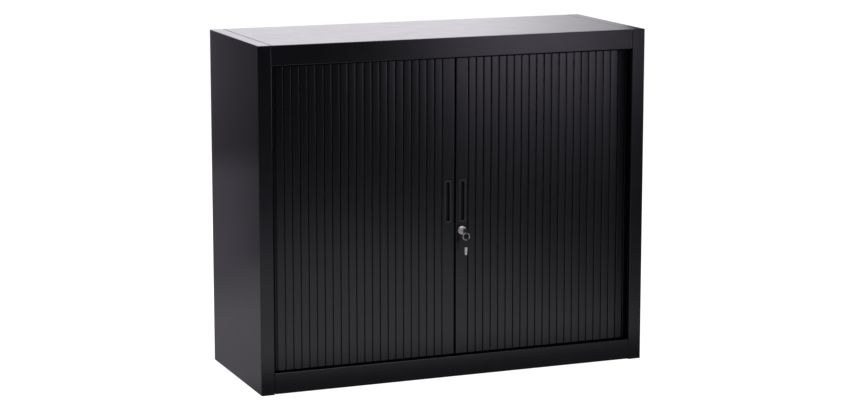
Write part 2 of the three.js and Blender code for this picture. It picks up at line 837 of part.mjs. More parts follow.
// Key in the lock, the ring through its bow, and the spare key on the ring
const key = groupAt(lockPlace, bowStart, lockHeight, [
  part('key_blade', keyBlade(), 'chrome'),
  part('key_bow', keyBow(), 'blackPlastic'),
]);
const ringLevel = lockHeight - bowHole / 2 + ringWire / 2 + seat;
const ringPlace = keyEnd + bowHoleEdge;
const ring = groupAt(lockPlace, ringPlace, ringLevel, [part('key_ring', keyRing(), 'chrome')]);
const spareHang = ringLevel - ringDiameter + ringWire;
// The spare key is turned on the wire, so the rim of its hole rests beside the wire's middle
const rimAside = (bowThickness / 2) * Math.tan(spareTurn) + ringWire / 2;
const rimSag = bowHole / 2 - Math.sqrt((bowHole / 2) ** 2 - rimAside ** 2);
const wireRise = (bowThickness / 2 / Math.cos(spareTurn)) ** 2 / (ringDiameter - ringWire);
const spareOffset = ringWire / 2 + swingGap + rimSag + wireRise - bowHole / 2;
const hung = (body) => shell(body).translate(0, bowLength - bowHoleEdge, 0).rotateX(-Math.PI / 2);
const spare = groupAt(lockPlace, ringPlace, spareHang + spareOffset, [
  part('spare_key_blade', hung(keyBlade()), 'chrome'),
  part('spare_key_bow', hung(keyBow()), 'blackPlastic'),
]);
spare.rotation.z = spareTurn;

// Levelling feet and brackets
const feet = footPlaces().map(([name, x, y]) => groupAt(x, y, 0, [
  part(`foot_${name}`, levellingFoot(), 'blackPlastic'),
  part(`foot_bracket_${name}`, footBracket(Math.sign(x)), 'powderCoat'),
]));

const cabinet = new THREE.Group();
cabinet.add(...carcass, ...doors, lock, key, ring, spare, ...feet);
cabinet.position.y = keyReach / 2;

export default cabinet;
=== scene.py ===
# %% [markdown]
# A low steel office cabinet with two tambour doors. Its case is folded from thin sheet steel and
# powder coated black, its doors are curtains of narrow plastic slats, and a small lock with a key
# joins their two stiles. The pieces that work, such as the tracks and the lock, come from the CAD
# frame, and this lesson models the pieces that show and gives every surface its finish.

# %% The frame
import math
import random
from contextlib import contextmanager

import bmesh
import bpy
from mathutils import Matrix, Vector


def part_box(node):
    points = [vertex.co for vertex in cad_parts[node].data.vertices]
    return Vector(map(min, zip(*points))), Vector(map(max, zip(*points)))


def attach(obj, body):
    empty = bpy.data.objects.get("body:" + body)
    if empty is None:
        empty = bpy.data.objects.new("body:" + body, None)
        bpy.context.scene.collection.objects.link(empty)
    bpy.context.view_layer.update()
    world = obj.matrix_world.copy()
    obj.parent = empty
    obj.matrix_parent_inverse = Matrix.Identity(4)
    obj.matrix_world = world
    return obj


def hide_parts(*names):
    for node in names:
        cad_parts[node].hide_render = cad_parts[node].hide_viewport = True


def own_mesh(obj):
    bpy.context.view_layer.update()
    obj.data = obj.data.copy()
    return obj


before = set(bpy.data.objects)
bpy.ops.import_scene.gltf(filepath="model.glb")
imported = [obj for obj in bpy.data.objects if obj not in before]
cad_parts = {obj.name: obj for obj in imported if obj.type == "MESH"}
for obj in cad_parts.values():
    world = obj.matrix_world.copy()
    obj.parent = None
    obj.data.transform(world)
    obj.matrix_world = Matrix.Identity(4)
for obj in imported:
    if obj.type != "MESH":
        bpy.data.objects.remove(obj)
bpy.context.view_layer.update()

# %% [markdown]
# The camera stands where the photographer stood: to the left of the cabinet, a little above its
# top, with a long lens. Its place and turn were found from the corners of the cabinet in the
# picture. The long lens keeps the uprights almost parallel, and a small shift of the lens sets
# the cabinet as high in the picture as the photographer did.

# %% Camera
camera_place = (-2.5969, -6.4626, 1.7582)
camera_down = math.radians(9.48)
camera_turn = math.radians(-21.84)
right_angle = math.radians(90)

camera_way = (right_angle - camera_down, 0, camera_turn)
bpy.ops.object.camera_add(location=camera_place, rotation=camera_way)
camera = bpy.context.object
camera.name = "camera"
camera.data.lens = 100.05
camera.data.shift_y = -0.0468
bpy.context.scene.camera = camera
bpy.context.scene.view_settings.view_transform = "Standard"
print("camera at", [round(place, 3) for place in camera.location])

# %% [markdown]
# The sizes are read from the frame where it has them, so each new piece lies exactly where the
# CAD piece lies. Only what the frame doesn't say, such as the width of a fold, is written here.

# %% Sizes
mm = 0.001
sheet = 1.2 * mm
case_low, case_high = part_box("left_side_casing")
lid_low, lid_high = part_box("top_panel")
pan_low, pan_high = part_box("floor_pan")
front = case_low.y
back = case_high.y
height = case_high.z
half_width = -case_low.x
post_width = case_high.x - case_low.x
post_return = 14 * mm
sides = {"left": -1, "right": 1}


def middle_of(node):
    low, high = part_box(node)
    return (low + high) / 2


print("case:", round(2 * half_width, 4), round(back - front, 4), round(height, 4))

# %% [markdown]
# A few helpers save typing. An operator acts on everything that is selected, so each piece is
# first made the only selected one. In edit mode, faces and edges are picked by where they are and
# which way they look, which does in code what a click does by hand.

# %% Helpers for selecting
same_place = 0.01 * mm  # how far apart two places may be and still count as one
slack = 0.1 * mm  # how far a vertex may lie from the line or face that it is picked by
mostly = 0.9  # the share of a direction that has to run along an axis


def deselect():
    bpy.ops.object.select_all(action="DESELECT")


def alone(piece):
    """Makes the piece the only selected object."""
    deselect()
    piece.select_set(True)
    bpy.context.view_layer.objects.active = piece


@contextmanager
def editing(piece):
    """Edit mode on one piece, from start to end of the with block."""
    alone(piece)
    bpy.ops.object.mode_set(mode="EDIT")
    yield
    bpy.ops.object.mode_set(mode="OBJECT")


def place_and_way(item):
    """The middle of a face, edge or vertex, and its normal or, for an edge, its direction."""
    if isinstance(item, bmesh.types.BMFace):
        return item.calc_center_median(), item.normal
    if isinstance(item, bmesh.types.BMEdge):
        ends = [corner.co for corner in item.verts]
        return (ends[0] + ends[1]) / 2, (ends[1] - ends[0]).normalized()
    return item.co, item.normal


def pick(kind, test):
    """Selects the faces, edges or vertices whose place and way pass the test."""
    bpy.ops.mesh.select_mode(type=kind)
    bpy.ops.mesh.select_all(action="DESELECT")
    shape = bmesh.from_edit_mesh(bpy.context.object.data)
    items = {"FACE": shape.faces, "EDGE": shape.edges, "VERT": shape.verts}[kind]
    for item in items:
        if test(*place_and_way(item)):
            item.select_set(True)
    shape.select_flush_mode()
    bmesh.update_edit_mesh(bpy.context.object.data)


def pick_all():
    bpy.ops.mesh.select_all(action="SELECT")


def face_outwards():
    """Turns every face of a closed piece outwards, or the faces of a sheet all the same way."""
    pick_all()
    bpy.ops.mesh.normals_make_consistent(inside=False)


def near(one, other):
    return abs(one - other) < same_place


# %% Helpers for starting and shaping
def shaped(name, scale=(1, 1, 1)):
    """Names the newest object, and puts its place, turn and scale into its mesh."""
    piece = bpy.context.object
    piece.name = name
    piece.scale = scale
    bpy.ops.object.transform_apply(location=True, rotation=True, scale=True)
    return piece


def start_box(name, low, high):
    """A box between two corners, as the start of a piece."""
    low, high = Vector(low), Vector(high)
    deselect()
    bpy.ops.mesh.primitive_cube_add(size=1, location=(low + high) / 2)
    return shaped(name, high - low)


def start_plane(name, low, high):
    """A flat rectangle between two corners that share one coordinate."""
    low, high = Vector(low), Vector(high)
    size = high - low
    flat = min(range(3), key=lambda axis: abs(size[axis]))
    turn = [(0, right_angle, 0), (right_angle, 0, 0), (0, 0, 0)][flat]
    deselect()
    bpy.ops.mesh.primitive_plane_add(size=1, location=(low + high) / 2, rotation=turn)
    return shaped(name, [(size.z, size.y, 1), (size.x, size.z, 1), (size.x, size.y, 1)][flat])


def fold(test, move):
    """Draws the edges that pass the test out by a move, as a new flange."""
    pick("EDGE", test)
    bpy.ops.mesh.extrude_edges_move(TRANSFORM_OT_translate={"value": move})


def push(test, move):
    """Draws the faces that pass the test out by a move."""
    pick("FACE", test)
    bpy.ops.mesh.extrude_region_move(TRANSFORM_OT_translate={"value": move})


def cut_at(place, way):
    """Cuts what is selected with a plane and keeps both sides."""
    bpy.ops.mesh.bisect(plane_co=place, plane_no=way)


def cut_all_at(place, way):
    pick_all()
    cut_at(place, way)


def modify(piece, kind, **settings):
    """Adds a modifier and applies it."""
    alone(piece)
    modifier = piece.modifiers.new(kind, kind)
    for name, value in settings.items():
        setattr(modifier, name, value)
    bpy.ops.object.modifier_apply(modifier=modifier.name)


def cut_out(piece, tool):
    """Takes the shape of the tool out of the piece, and throws the tool away."""
    modify(piece, "BOOLEAN", operation="DIFFERENCE", object=tool, solver="EXACT")
    bpy.data.objects.remove(tool)


def drill(piece, middle, radius, depth, turn=(0, 0, 0), steps=32):
    """Drills a round hole. The drill stands upright unless it is turned."""
    deselect()
    bpy.ops.mesh.primitive_cylinder_add(
        vertices=steps, radius=radius, depth=depth, location=middle, rotation=turn,
    )
    cut_out(piece, bpy.context.object)


def smooth(piece, sharper_than):
    """Shades the piece smoothly, but for the edges that are sharper than an angle."""
    alone(piece)
    bpy.ops.object.shade_smooth_by_angle(angle=math.radians(sharper_than))
    modify(piece, "WEIGHTED_NORMAL", keep_sharp=True)


def round_edges(piece, edge, steps, sharper_than):
    """Rounds every edge that is sharper than an angle."""
    modify(
        piece, "BEVEL", width=edge, segments=steps, limit_method="ANGLE",
        angle_limit=math.radians(sharper_than), harden_normals=False,
    )


def soften(piece, edge, sharper_than):
    """Rounds the sharp edges in two steps, and shades the piece smoothly."""
    round_edges(piece, edge, steps=2, sharper_than=sharper_than)
    smooth(piece, sharper_than)


def join_all(pieces):
    """Joins pieces into the first one."""
    alone(pieces[0])
    for piece in pieces:
        piece.select_set(True)
    bpy.ops.object.join()
    return bpy.context.object


def copy_to(piece, name, matrix):
    """A copy with a mesh of its own, moved in its mesh so that its origin stays at the origin."""
    copy = piece.copy()
    copy.data = piece.data.copy()
    copy.name = name
    bpy.context.collection.objects.link(copy)
    copy.data.transform(matrix)
    return copy


# %% [markdown]
# Sheet steel is folded, so its bends are round and its walls are equally thick. A flat sheet is
# drawn out along its edges, its bends are rounded by a Bevel modifier, and Solidify then gives
# the steel its thickness, inwards from the outer face. The last, very small bevel is the powder
# that builds up soft along every cut edge.

# %% Helpers for folded sheet
bend_radius = 1.9 * mm
bend_angle = 40
coated_edge = 0.22 * mm
coated_edge_angle = 50


def close_folds(piece, outwards):
    """Joins the flanges that meet, and turns the largest face and all others to the outside."""
    with editing(piece):
        pick_all()
        bpy.ops.mesh.remove_doubles(threshold=same_place)
        face_outwards()
        shape = bmesh.from_edit_mesh(piece.data)
        largest = max(shape.faces, key=lambda face: face.calc_area())
        if largest.normal.dot(Vector(outwards)) < 0:
            bpy.ops.mesh.flip_normals()


def thicken(piece, outwards, bend=bend_radius, wall=sheet):
    """Rounds the bends of a folded sheet and gives it its wall."""
    close_folds(piece, outwards)
    round_edges(piece, bend, steps=4, sharper_than=bend_angle)
    modify(piece, "SOLIDIFY", thickness=wall, offset=-1, use_even_offset=True)


def coat_edges(piece):
    """Rounds the cut edges of a sheet a little, as the melted powder does."""
    soften(piece, coated_edge, coated_edge_angle)


# %% [markdown]
# Every material is made of nodes on Object coordinates, so its pattern stays on the piece at its
# real size. One function adds a node with its settings and links, and one turns a colour as
# it is picked on a screen into the linear numbers that the renderer counts with. The last one
# ends a glossy finish: it mixes two close colours, raises the bumps and lays the gloss over them.

# %% Helpers for materials
def linear(hex_colour):
    """An sRGB hex colour as linear red, green, blue and alpha."""
    shares = [int(hex_colour[start:start + 2], 16) / 255 for start in (1, 3, 5)]
    light = [share / 12.92 if share <= 0.04045 else ((share + 0.055) / 1.055) ** 2.4 for share in shares]
    return (*light, 1)


def add(tree, kind, inputs=None, **settings):
    """Adds a node, sets it, and links or fills its inputs."""
    node = tree.nodes.new(kind)
    for name, value in settings.items():
        setattr(node, name, value)
    for name, value in (inputs or {}).items():
        if isinstance(value, bpy.types.NodeSocket):
            tree.links.new(value, node.inputs[name])
        else:
            node.inputs[name].default_value = value
    return node


def start_material(name):
    """A new material with an empty tree, and the coordinates of the piece in metres."""
    material = bpy.data.materials.new(name)
    material.use_nodes = True
    tree = material.node_tree
    tree.nodes.clear()
    where = add(tree, "ShaderNodeTexCoord").outputs["Object"]
    return material, tree, where


def end_glossy(tree, colours, pattern, bumps, **gloss):
    """Mixes two colours by a pattern, and ends the material with the bumps and the gloss."""
    # inputs 6 and 7 of this node are its two colours, and output 2 is their mix
    tone = add(tree, "ShaderNodeMix", {
        "Factor": pattern.outputs["Fac"], 6: linear(colours[0]), 7: linear(colours[1]),
    }, data_type="RGBA")
    raised = add(tree, "ShaderNodeBump", bumps)
    surface = add(tree, "ShaderNodeBsdfPrincipled", {
        "Base Color": tone.outputs[2], "Normal": raised.outputs["Normal"], **gloss,
    })
    add(tree, "ShaderNodeOutputMaterial", {"Surface": surface.outputs[0]})


# %% [markdown]
# Powder coat is dry resin powder, sprayed on the steel and melted in an oven. It flows out to a
# smooth satin skin with a faint orange peel, a few millimetres from crest to crest, and hides
# the steel all over. On black it has almost no colour of its own: what shows is the gloss.

# %% Powder coat
peel_width = 2.2 * mm
cloud_width = 60 * mm
buckle_width = 420 * mm
powder_spread = 0.02


def powder_coat(name, colours, gloss, peel_depth, buckle_depth):
    material, tree, where = start_material(name)
    peel = add(tree, "ShaderNodeTexNoise", {"Vector": where, "Scale": 1 / peel_width, "Detail": 2})
    buckle = add(tree, "ShaderNodeTexNoise", {"Vector": where, "Scale": 1 / buckle_width, "Detail": 1})
    cloud = add(tree, "ShaderNodeTexNoise", {"Vector": where, "Scale": 1 / cloud_width, "Detail": 3})
    rough = add(tree, "ShaderNodeMapRange", {
        "Value": cloud.outputs["Fac"], "To Min": gloss - powder_spread, "To Max": gloss + powder_spread,
    })
    buckled = add(tree, "ShaderNodeBump", {
        "Height": buckle.outputs["Fac"], "Distance": buckle_depth, "Strength": 1.0,
    })
    bumps = {
        "Height": peel.outputs["Fac"], "Distance": peel_depth, "Strength": 0.6,
        "Normal": buckled.outputs["Normal"],
    }
    end_glossy(tree, colours, cloud, bumps, Roughness=rough.outputs["Result"], IOR=1.5)
    return material


# two colours, roughness, and the depths of the peel and of the buckles
powder_black = powder_coat("black_powder_coat", ("#060608", "#0a0a0c"), 0.23, 0.02 * mm, 0.5 * mm)
powder_liner = powder_coat("liner_powder_coat", ("#2a2a2e", "#303034"), 0.45, 0.03 * mm, 0.4 * mm)
print("materials:", powder_black.name, powder_liner.name)

# %% [markdown]
# The slats are extruded from hard PVC. The die leaves very fine lines along each slat, so its
# gloss is soft across the slat and sharper along it. The lines are drawn wider than the real
# ones, which no picture of a whole cabinet could show.

# %% Slat plastic
die_line = 0.8 * mm
die_line_length = 240 * mm
die_line_depth = 0.01 * mm


def extruded_plastic():
    material, tree, where = start_material("extruded_pvc")
    along = add(tree, "ShaderNodeMapping", {
        "Vector": where, "Scale": (1 / die_line, 1 / die_line, 1 / die_line_length),
    })
    lines = add(tree, "ShaderNodeTexNoise", {"Vector": along.outputs["Vector"], "Scale": 1, "Detail": 2})
    bumps = {"Height": lines.outputs["Fac"], "Distance": die_line_depth, "Strength": 0.5}
    end_glossy(tree, ("#040406", "#080809"), lines, bumps, Roughness=0.24, IOR=1.52)
    return material


slat_plastic = extruded_plastic()
print("material:", slat_plastic.name)

# %% [markdown]
# The finger cups, shoes and key bows are moulded from black polyamide or ABS in an etched mould,
# which gives them a fine, even grain and a duller gloss than the powder coat. The rubber of the
# track stops comes out of a mould too, but is duller still.

# %% Moulded plastic and rubber
def moulded(name, colours, gloss, grain_width, grain_depth):
    material, tree, where = start_material(name)
    grain = add(tree, "ShaderNodeTexNoise", {"Vector": where, "Scale": 1 / grain_width, "Detail": 3})
    bumps = {"Height": grain.outputs["Fac"], "Distance": grain_depth, "Strength": 0.6}
    end_glossy(tree, colours, grain, bumps, Roughness=gloss, IOR=1.5)
    return material


# two colours, roughness, and the width and depth of the grain
black_plastic = moulded("black_moulded_plastic", ("#070708", "#0b0b0d"), 0.36, 0.7 * mm, 0.03 * mm)
cup_plastic = moulded("dark_grey_moulded_plastic", ("#101012", "#161618"), 0.42, 0.6 * mm, 0.04 * mm)
rubber = moulded("black_rubber", ("#030303", "#060606"), 0.75, 0.5 * mm, 0.04 * mm)
print("materials:", black_plastic.name, cup_plastic.name, rubber.name)

# %% [markdown]
# The lock and the keys are brass or zinc with a bright nickel plate, polished before plating. The
# clips, screws and the hook are steel with a dull zinc plate. Both are metals, so their colour
# is in the reflection and not under it, and fine scratches spread the reflection a little. The
# scratches are drawn wider than the real ones, which would be too fine to show.

# %% Plated metal
scratch_length = 8 * mm
tarnish_width = 3 * mm
plate_spread = 0.04


def plated(name, colours, gloss, scratch_width, scratch_depth):
    material, tree, where = start_material(name)
    along = add(tree, "ShaderNodeMapping", {
        "Vector": where, "Scale": (1 / scratch_width, 1 / scratch_width, 1 / scratch_length),
    })
    wear = add(tree, "ShaderNodeTexNoise", {"Vector": along.outputs["Vector"], "Scale": 1, "Detail": 3})
    tarnish = add(tree, "ShaderNodeTexNoise", {"Vector": where, "Scale": 1 / tarnish_width, "Detail": 2})
    rough = add(tree, "ShaderNodeMapRange", {
        "Value": tarnish.outputs["Fac"], "To Min": gloss - plate_spread, "To Max": gloss + plate_spread,
    })
    bumps = {"Height": wear.outputs["Fac"], "Distance": scratch_depth, "Strength": 0.5}
    end_glossy(tree, colours, tarnish, bumps, Roughness=rough.outputs["Result"], Metallic=1.0)
    return material


# two colours, roughness, and the width and depth of the scratches
nickel = plated("bright_nickel_plate", ("#d6d2cc", "#e4e0db"), 0.27, 0.3 * mm, 0.006 * mm)
satin_nickel = plated("satin_nickel_plate", ("#ebe7e0", "#f4f1ec"), 0.48, 0.3 * mm, 0.006 * mm)
zinc = plated("dull_zinc_plate", ("#9b9a96", "#b0afaa"), 0.38, 0.4 * mm, 0.02 * mm)
print("materials:", nickel.name, satin_nickel.name, zinc.name)

# %% [markdown]
# The tracks are lined with pile: short nylon hair, glued upright, that keeps the slats quiet. It
# has no gloss at all and a very dark colour. That colour is partly the pile's own and partly painted
# shade, for the shadow in the gap above the plinth and between the doors. The hairs are drawn
# thicker than the real ones, which would be too fine to show.

# %% Pile, partly painted shade
hair_width = 0.5 * mm


def pile_with_painted_shade():
    material, tree, where = start_material("black_pile_painted_shade")
    hair = add(tree, "ShaderNodeTexNoise", {"Vector": where, "Scale": 1 / hair_width, "Detail": 2})
    # painted shade: this near-black colour without gloss also stands in for the shadow in the gaps the
    # pile lines
    tone = add(tree, "ShaderNodeMix", {
        "Factor": hair.outputs["Fac"], 6: linear("#030303"), 7: linear("#080808"),
    }, data_type="RGBA")
    surface = add(tree, "ShaderNodeBsdfDiffuse", {"Color": tone.outputs[2], "Roughness": 1.0})
    add(tree, "ShaderNodeOutputMaterial", {"Surface": surface.outputs[0]})
    return material


pile_painted_shade = pile_with_painted_shade()
print("material:", pile_painted_shade.name)

# %% Helper for placing a finished piece
def settle(piece, material, body, slot, *nodes):
    """Gives a finished piece its material and body, and lets it stand for CAD nodes."""
    piece.data.materials.clear()
    piece.data.materials.append(material)
    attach(piece, body)
    if nodes:
        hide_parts(*nodes)
    piece.data.calc_loop_triangles()
    print(piece.name, len(piece.data.loop_triangles), "triangles")


# %% [markdown]
# Each side of the cabinet is one folded sheet. The flat skin turns round the front edge into a
# narrow post and back again, and along the top into a strip that the lid lies beside. It could
# be a box with faces deleted, but folding it flange by flange gives each flange its own width and
# keeps the closed corner where the post meets the strip.

# %% Side casings
rear_return = 25 * mm
strip_fold = 15 * mm
foot_flange = 30 * mm


def side_casing(hand):
    side = sides[hand]
    outer = side * half_width
    inner = side * (half_width - post_width)
    inwards = (-side * post_width, 0, 0)
    skin = start_plane(f"{hand}_casing", (outer, front, 0), (outer, back, height))
    with editing(skin):
        fold(lambda at, way: near(at.y, front), inwards)
        fold(lambda at, way: near(at.z, height) and near(at.x, outer), inwards)
        fold(lambda at, way: near(at.y, back) and near(at.x, outer), (-side * rear_return, 0, 0))
        fold(lambda at, way: near(at.z, 0) and near(at.x, outer), (-side * foot_flange, 0, 0))
        fold(
            lambda at, way: near(at.x, inner) and near(at.y, front) and abs(way.z) > mostly,
            (0, post_return, 0),
        )
        pick("FACE", lambda at, way: near(at.z, height) and abs(way.z) > mostly)
        cut_at((0, front + post_return, 0), (0, 1, 0))
        fold(
            lambda at, way: near(at.x, inner) and near(at.z, height)
            and abs(way.y) > mostly and at.y > front + post_return,
            (0, 0, -strip_fold),
        )
    thicken(skin, (side, 0, 0))
    coat_edges(skin)
    settle(skin, powder_black, "cabinet", "powder_coat", f"{hand}_side_casing")


for hand in sides:
    side_casing(hand)

# %% [markdown]
# The lid and the header are one sheet as well. The front edge turns down into the header, whose
# lower edge turns back towards the track, and short returns close its two ends. A gap of less
# than a millimetre stays between the lid and the strips of the side casings: it shows as a thin
# dark line on the real cabinet.

# %% Lid and header
pan_fold = 20 * mm
header_bottom = lid_low.z
header_height = height - header_bottom


def top_panel():
    edge = lid_high.x
    lid = start_plane("lid_and_header", (-edge, front, height), (edge, back, height))
    with editing(lid):
        cut_all_at((0, front + post_return, 0), (0, 1, 0))
        fold(lambda at, way: near(at.y, front), (0, 0, -header_height))
        fold(lambda at, way: near(at.z, header_bottom), (0, post_return, 0))
        fold(lambda at, way: near(at.y, back), (0, 0, -pan_fold))
        for side in sides.values():
            fold(
                lambda at, way: near(at.x, side * edge) and near(at.z, height)
                and at.y < front + post_return,
                (0, 0, -header_height),
            )
            fold(
                lambda at, way: near(at.x, side * edge) and near(at.z, height)
                and at.y > front + post_return and abs(way.y) > mostly,
                (0, 0, -pan_fold),
            )
    thicken(lid, (0, 0, 1))
    coat_edges(lid)
    settle(lid, powder_black, "cabinet", "powder_coat", "top_panel")


top_panel()

# %% [markdown]
# The plinth is the front of the floor pan. The sheet rises from just above the floor, turns back
# in a narrow ledge that carries the light along its bend, steps down, and runs to the back as
# the floor of the cabinet.

# %% Plinth and floor pan
pan_drop = 12 * mm
access_hole = 16 * mm


def floor_pan():
    edge = lid_high.x
    floor_top = pan_high.z - pan_drop
    step_line = front + post_return
    pan = start_plane("plinth_and_floor", (-edge, front, pan_low.z), (edge, front, pan_high.z))
    with editing(pan):
        fold(lambda at, way: near(at.z, pan_high.z), (0, post_return, 0))
        fold(lambda at, way: near(at.y, step_line), (0, 0, -pan_drop))
        fold(lambda at, way: near(at.z, floor_top), (0, pan_high.y - step_line, 0))
        fold(lambda at, way: near(at.y, pan_high.y), (0, 0, -pan_fold))
        for side in sides.values():
            fold(
                lambda at, way: near(at.x, side * edge) and near(at.z, floor_top)
                and abs(way.y) > mostly,
                (side * (pan_high.x - edge), 0, 0),
            )
    thicken(pan, (0, 0, 1))
    for foot in [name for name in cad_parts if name.startswith("foot_bracket")]:
        middle = middle_of(foot.replace("foot_bracket", "foot"))
        drill(pan, (middle.x, middle.y, floor_top), access_hole / 2, 4 * pan_drop)
    coat_edges(pan)
    settle(pan, powder_black, "cabinet", "powder_coat", "floor_pan")


floor_pan()

# %% [markdown]
# A slat is an extruded strip with a slightly crowned face and rounded edges. A thin web on each
# side hooks it to its neighbours, and a tongue at each end runs in the track. One slat is
# modelled about the origin and copied along the path. The round corner and the straight runs
# come from the same formula, so the last slats of each curtain turn into the bend.

# %% One slat
slat_pitch = 24 * mm
slat_face = 21.3 * mm
slat_depth = 8 * mm
slat_edge = 0.8 * mm
slat_crown = 0.16 * mm
crown_shares = (-0.35, -0.12, 0.12, 0.35)
crown_sink_share = 0.6
web = 1.6 * mm
web_place = 1.6 * mm
web_gap = 0.05 * mm
tongue = (12 * mm, 5 * mm)
stile_low, stile_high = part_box("right_stile")
curtain_low, curtain_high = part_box("right_curtain")


def one_slat():
    half_face, half_depth, half_web = slat_face / 2, slat_depth / 2, web / 2
    bottom, top = stile_low.z, stile_high.z
    slat = start_box("slat", (-half_face, -half_depth, bottom), (half_face, half_depth, top))
    with editing(slat):
        for place in (-half_web, half_web):
            cut_all_at((0, web_place + place, 0), (0, 1, 0))
        for side in sides.values():
            push(
                lambda at, way: near(at.x, side * half_face) and abs(at.y - web_place) < half_web,
                (side * ((slat_pitch - slat_face) / 2 - web_gap), 0, 0),
            )
        for share in (-0.5, 0.5):
            cut_all_at((share * tongue[0], 0, 0), (1, 0, 0))
            cut_all_at((0, share * tongue[1], 0), (0, 1, 0))
        for level, reach in ((bottom, curtain_low.z), (top, curtain_high.z)):
            push(
                lambda at, way: near(at.z, level)
                and abs(at.x) < tongue[0] / 2 and abs(at.y) < tongue[1] / 2,
                (0, 0, reach - level),
            )
        pick(
            "EDGE",
            lambda at, way: abs(way.z) > mostly and near(at.y, -half_depth) and near(abs(at.x), half_face),
        )
        bpy.ops.mesh.bevel(offset=slat_edge, segments=4, affect="EDGES")
        for share in crown_shares:
            cut_all_at((share * slat_face, 0, 0), (1, 0, 0))
        flat_half = half_face - slat_edge
        steps = (crown_shares[-1], tongue[0] / 2 / slat_face, crown_shares[-2])
        for share in steps:
            reach = share * slat_face
            rise = slat_crown * (1 - reach / flat_half) / len(steps)
            pick("VERT", lambda at, way: at.y < slack - half_depth and abs(at.x) < reach + slack)
            bpy.ops.transform.translate(value=(0, -rise, 0))
        pick_all()
        bpy.ops.transform.translate(value=(0, slat_crown * crown_sink_share, 0))
    return slat


slat = one_slat()
print("slat:", [round(side, 4) for side in slat.dimensions])

# %% Curtains
slat_count = 24
corner_radius = 60 * mm
slat_line = stile_low.y + slat_depth / 2
side_line = curtain_high.x - slat_depth / 2
corner_start = side_line - corner_radius
first_gap = 0.2 * mm
first_slat = curtain_low.x + slat_pitch / 2 + first_gap
slat_wobble = math.radians(0.85)


def path_place(travelled):
    """Where a slat stands after a way along the path, and how far it has turned."""
    if travelled <= corner_start:
        return travelled, slat_line, 0
    turn = min((travelled - corner_start) / corner_radius, right_angle)
    straight = travelled - corner_start - turn * corner_radius
    x = corner_start + corner_radius * math.sin(turn)
    return x, slat_line + corner_radius * (1 - math.cos(turn)) + straight, turn


def curtain(hand):
    side = sides[hand]
    dice = random.Random(f"{hand} slats")
    copies = []
    for index in range(slat_count):
        x, y, turn = path_place(first_slat + index * slat_pitch)
        wobble = dice.uniform(-slat_wobble, slat_wobble)
        place = Matrix.Translation((side * x, y, 0)) @ Matrix.Rotation(side * turn + wobble, 4, "Z")
        copies.append(copy_to(slat, "slat", place))
    joined = join_all(copies)
    joined.name = f"{hand}_slats"
    bpy.ops.object.shade_smooth_by_angle(angle=math.radians(35))
    settle(joined, slat_plastic, f"{hand}_door", "slat_plastic", f"{hand}_curtain")
    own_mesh(joined)


for hand in sides:
    curtain(hand)
bpy.data.objects.remove(slat)

# %% [markdown]
# The stile is a narrow steel channel with its open side to the rear. It carries the finger cup
# and half of the lock. Its openings are cut out after the wall has its thickness, as a punch
# would cut them, so the cut edges show how thick the steel is.

# %% Stiles
stile_wall = 2 * mm
stile_bend = 2.4 * mm
channel_width = 38.8 * mm
lip_thickness = 1.6 * mm
meeting_gap = 1.6 * mm
cup_margin = 1.8 * mm
cup_slot = (12 * mm, 113 * mm)
lock_bore_radius = 9.6 * mm
overrun = 5 * mm


def stile(hand):
    side = sides[hand]
    edge = stile_low.x + channel_width
    ends = sorted((side * (stile_low.x + meeting_gap), side * edge))
    channel = start_box(
        f"{hand}_stile_channel",
        (ends[0], stile_low.y, stile_low.z), (ends[1], stile_high.y, stile_high.z),
    )
    with editing(channel):
        pick("FACE", lambda at, way: way.y > mostly or abs(way.z) > mostly)
        bpy.ops.mesh.delete(type="FACE")
    thicken(channel, (0, -1, 0), bend=stile_bend, wall=stile_wall)
    with editing(channel):
        for place in (-lip_thickness / 2, lip_thickness / 2):
            cut_all_at((0, slat_line + place, 0), (0, 1, 0))
        push(
            lambda at, way: near(at.x, side * edge) and abs(at.y - slat_line) < lip_thickness / 2,
            (side * (stile_high.x - edge), 0, 0),
        )
    middle = middle_of(f"{hand}_finger_cup")
    middle.y = stile_low.y
    half = Vector((cup_slot[0] / 2 + cup_margin, overrun, cup_slot[1] / 2 + cup_margin))
    cut_out(channel, start_box("punch", middle - half, middle + half))
    if hand == "right":
        bore = middle_of("lock_housing")
        bore.y = stile_low.y
        drill(channel, bore, lock_bore_radius, 2 * overrun, turn=(right_angle, 0, 0), steps=64)
    coat_edges(channel)
    settle(channel, powder_black, f"{hand}_door", "stile_metal", f"{hand}_stile")


for hand in sides:
    stile(hand)

# %% [markdown]
# The finger cup is a moulded pocket that two fingers reach into. It starts as a thin block: the
# front face is inset to leave the flange, and drawn in to make the pocket. The rear is open, and
# Solidify makes its wall, so the pocket is as hollow behind as the real one.

# %% Finger cups
cup_wall = 1.2 * mm
cup_depth = 14 * mm
cup_rim = 0.6 * mm
pocket_corner = 4 * mm


def finger_cup(hand):
    low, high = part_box(f"{hand}_finger_cup")
    flange_back = low.y + cup_wall
    cup = start_box(f"{hand}_cup", low, (high.x, flange_back, high.z))
    flange = (high.x - low.x - cup_slot[0]) / 2
    with editing(cup):
        pick("FACE", lambda at, way: way.y > mostly)
        bpy.ops.mesh.delete(type="FACE")
        pick("FACE", lambda at, way: way.y < -mostly)
        bpy.ops.mesh.inset(thickness=flange, depth=0)
        bpy.ops.mesh.extrude_region_move(TRANSFORM_OT_translate={"value": (0, cup_depth, 0)})
        pick("EDGE", lambda at, way: abs(way.y) > mostly and at.y - low.y > cup_wall)
        bpy.ops.mesh.bevel(offset=pocket_corner, segments=5, affect="EDGES")
    round_edges(cup, cup_rim, steps=3, sharper_than=50)
    modify(cup, "SOLIDIFY", thickness=cup_wall, offset=-1, use_even_offset=True)
    smooth(cup, sharper_than=40)
    settle(cup, cup_plastic, f"{hand}_door", "black_plastic", f"{hand}_finger_cup")


for hand in sides:
    finger_cup(hand)

